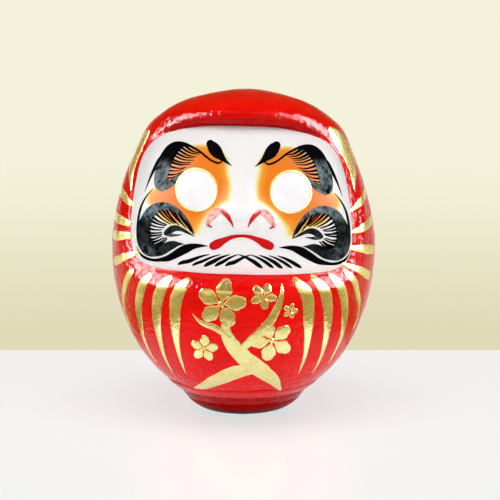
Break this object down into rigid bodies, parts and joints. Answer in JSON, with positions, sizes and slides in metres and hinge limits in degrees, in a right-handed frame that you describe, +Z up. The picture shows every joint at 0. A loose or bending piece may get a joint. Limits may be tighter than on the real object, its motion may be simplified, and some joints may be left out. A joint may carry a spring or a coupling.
{
  "type": "daruma doll",
  "caption": "Round self-righting daruma doll: hollow papier-mache shell on a clay weight, recessed face with brush-painted brows and whiskers, gold lines on red.",
  "frame": {"origin": "centre of the round foot that the doll stands on", "axes": "+Z up from the foot to the crown; the face looks along -Y; +X is the viewer's right when facing the doll"},
  "size_m": [0.122, 0.1222, 0.149],
  "materials": {
    "red_lacquered_paper": "glossy red lacquer over wrinkled papier-mache",
    "painted_clay": "fired clay, red lacquer on the bowl and bare on the foot",
    "face_paint": "smooth satin white shell-powder paint",
    "eye_paint": "satin white paint",
    "black_paint": "glossy black ink, brushed",
    "red_paint": "glossy red paint",
    "gold_paint": "metallic gold paint, brushed"
  },
  "bodies": {
    "root": {"paper_shell": "red_lacquered_paper", "back_seam_strip": "red_lacquered_paper", "base_weight": "painted_clay", "base_seam_strip": "red_lacquered_paper", "face_coat": "face_paint", "eye_disc_left": "eye_paint", "eye_disc_right": "eye_paint", "eye_rim_left": "gold_paint", "eye_rim_right": "gold_paint", "brow_left": "black_paint", "brow_right": "black_paint", "whisker_left": "black_paint", "whisker_right": "black_paint", "beard_wave_left": "black_paint", "beard_wave_right": "black_paint", "beard_strokes": "black_paint", "mouth_line": "red_paint", "nose_lines": "red_paint", "robe_lines_left": "gold_paint", "robe_lines_right": "gold_paint", "hood_lines_left": "gold_paint", "hood_lines_right": "gold_paint", "front_ornament": "gold_paint"}
  },
  "joints": []
}
